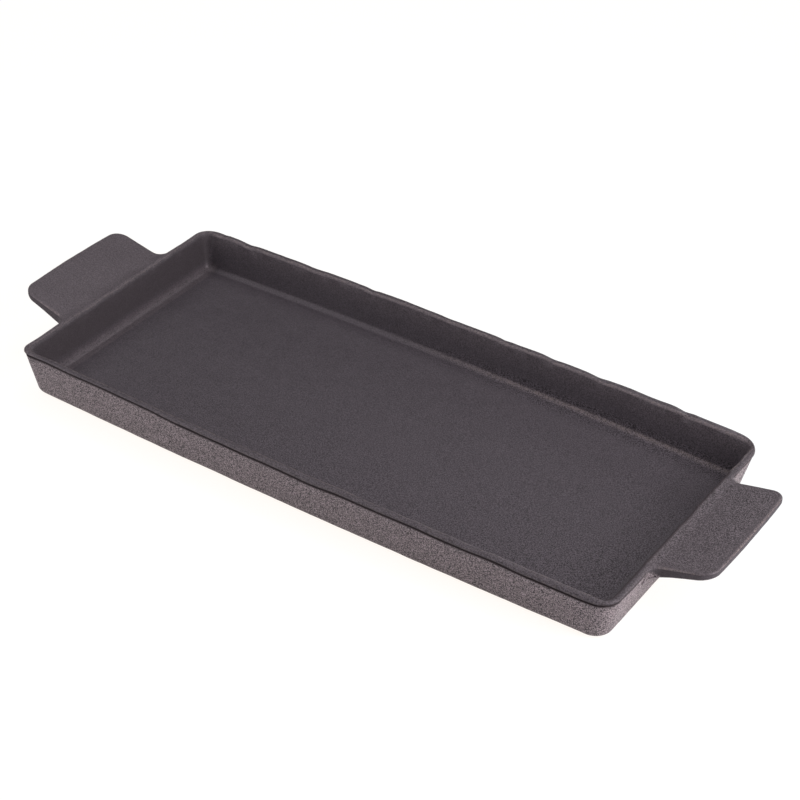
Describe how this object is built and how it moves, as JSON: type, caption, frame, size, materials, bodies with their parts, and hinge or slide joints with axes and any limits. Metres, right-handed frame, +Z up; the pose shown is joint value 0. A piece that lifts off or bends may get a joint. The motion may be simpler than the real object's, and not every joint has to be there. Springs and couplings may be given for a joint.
{
  "type": "sizzle platter",
  "caption": "Shallow rectangular cast iron serving tray with tapered walls, an uneven rounded rim and a flat upturned tab handle at each short end.",
  "frame": {"origin": "middle of the base, on the flat underside", "axes": "+X along the tray's length to the right handle, +Y across it to the rear wall, +Z up out of the tray"},
  "size_m": [0.3884, 0.1545, 0.032],
  "materials": {
    "floor_iron": "fine-grained satin black iron",
    "wall_iron": "rough sand-cast black iron with a smooth rim",
    "handle_iron": "coarse-grained black iron"
  },
  "bodies": {
    "root": {"cooking_floor": "floor_iron", "front_wall": "wall_iron", "rear_wall": "wall_iron", "left_end_wall": "wall_iron", "right_end_wall": "wall_iron", "left_handle": "handle_iron", "right_handle": "handle_iron"}
  },
  "joints": []
}
